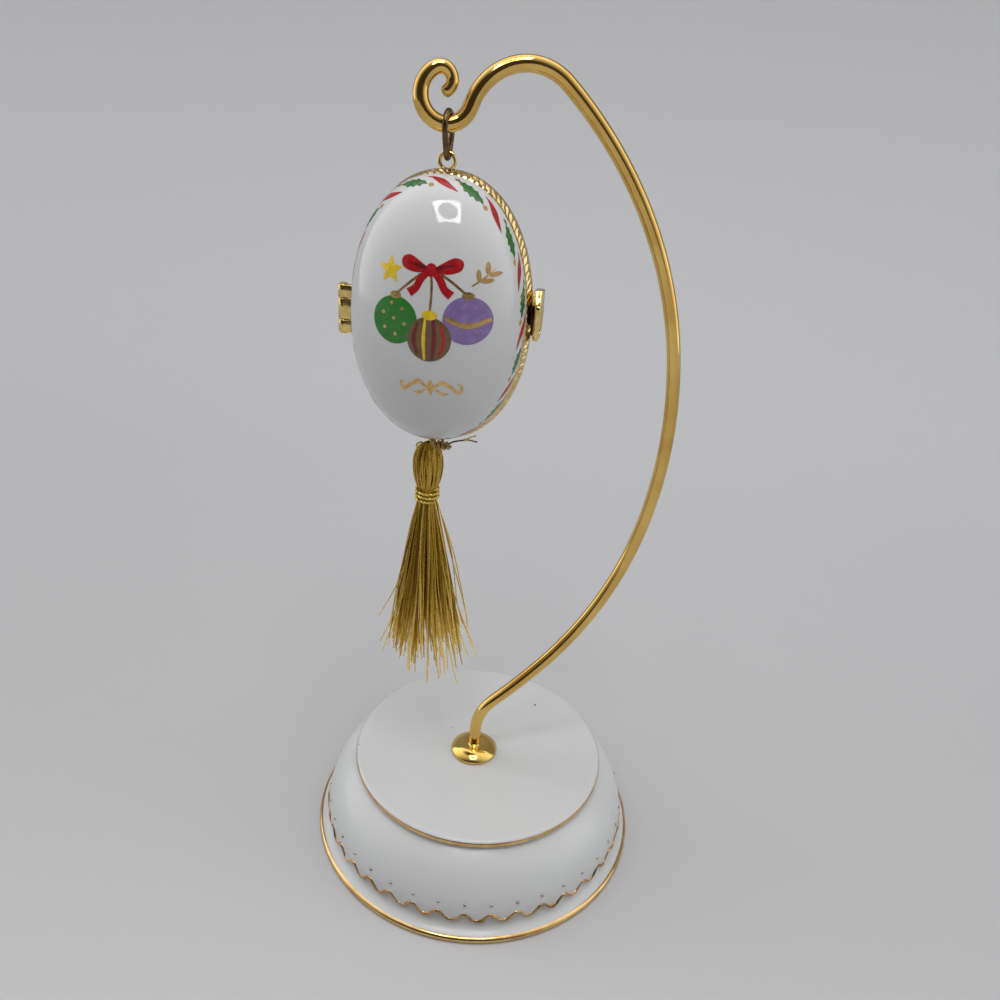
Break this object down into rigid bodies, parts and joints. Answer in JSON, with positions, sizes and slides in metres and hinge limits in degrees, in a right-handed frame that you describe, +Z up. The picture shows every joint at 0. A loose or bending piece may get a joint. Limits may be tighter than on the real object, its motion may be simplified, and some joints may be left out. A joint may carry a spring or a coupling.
{
  "type": "decorative egg on stand",
  "caption": "Hinged porcelain egg with brass rims, a clasp and a thread tassel, hung by a ring from a curled brass hook on a round porcelain base.",
  "frame": {"origin": "middle of the base's underside, on the surface it stands on", "axes": "+Z up along the rod's foot, -Y out of the egg's front, +X to the right as the egg is looked at"},
  "size_m": [0.1, 0.1, 0.2166],
  "materials": {
    "base_porcelain": "gloss glaze",
    "egg_porcelain": "gloss glaze",
    "rod_brass": "polished",
    "collar_brass": "polished",
    "rim_brass": "engraved",
    "fitting_brass": "polished",
    "ring_bronze": "tarnished",
    "clamp_steel": "zinc plated",
    "gasket_rubber": "matte",
    "tassel_thread": "metallic thread",
    "binding_thread": "metallic cord"
  },
  "bodies": {
    "stand": {"base_shell": "base_porcelain", "post_collar": "collar_brass", "hook_rod": "rod_brass", "base_gasket": "gasket_rubber", "clamp_washer": "clamp_steel", "clamp_nut": "clamp_steel"},
    "hanger": {"hanger_ring": "ring_bronze"},
    "egg_back": {"egg_back_shell": "egg_porcelain", "egg_back_rim": "rim_brass", "top_eyelet": "fitting_brass", "bottom_eyelet": "fitting_brass", "hinge_lower_knuckle": "fitting_brass", "hinge_upper_knuckle": "fitting_brass", "hinge_pin": "fitting_brass", "clasp_tab": "fitting_brass"},
    "egg_front": {"egg_front_shell": "egg_porcelain", "egg_front_rim": "rim_brass", "hinge_front_knuckle": "fitting_brass", "clasp_catch": "fitting_brass"},
    "tassel": {"tassel_loop": "tassel_thread", "tassel_head": "tassel_thread", "tassel_skirt": "tassel_thread", "tassel_binding": "binding_thread", "tassel_tie": "binding_thread"}
  },
  "joints": [
    {"name": "ring_swing", "type": "hinge", "parent": "stand", "child": "hanger", "pos_m": [-0.0164, -0.0063, 0.20166], "axis": [0.9455, 0.3256, 0], "range_deg": [-20, 20]},
    {"name": "egg_swing", "type": "hinge", "parent": "hanger", "child": "egg_back", "pos_m": [-0.0164, -0.0063, 0.19491], "axis": [0, 1, 0], "range_deg": [-8, 20]},
    {"name": "door_swing", "type": "hinge", "parent": "egg_back", "child": "egg_front", "pos_m": [-0.0408, -0.00757, 0.15956], "axis": [0, 0, -1], "range_deg": [0, 110]},
    {"name": "tassel_swing", "type": "hinge", "parent": "egg_back", "child": "tassel", "pos_m": [-0.017, -0.0063, 0.12697], "axis": [1, 0, 0], "range_deg": [-15, 15]}
  ]
}
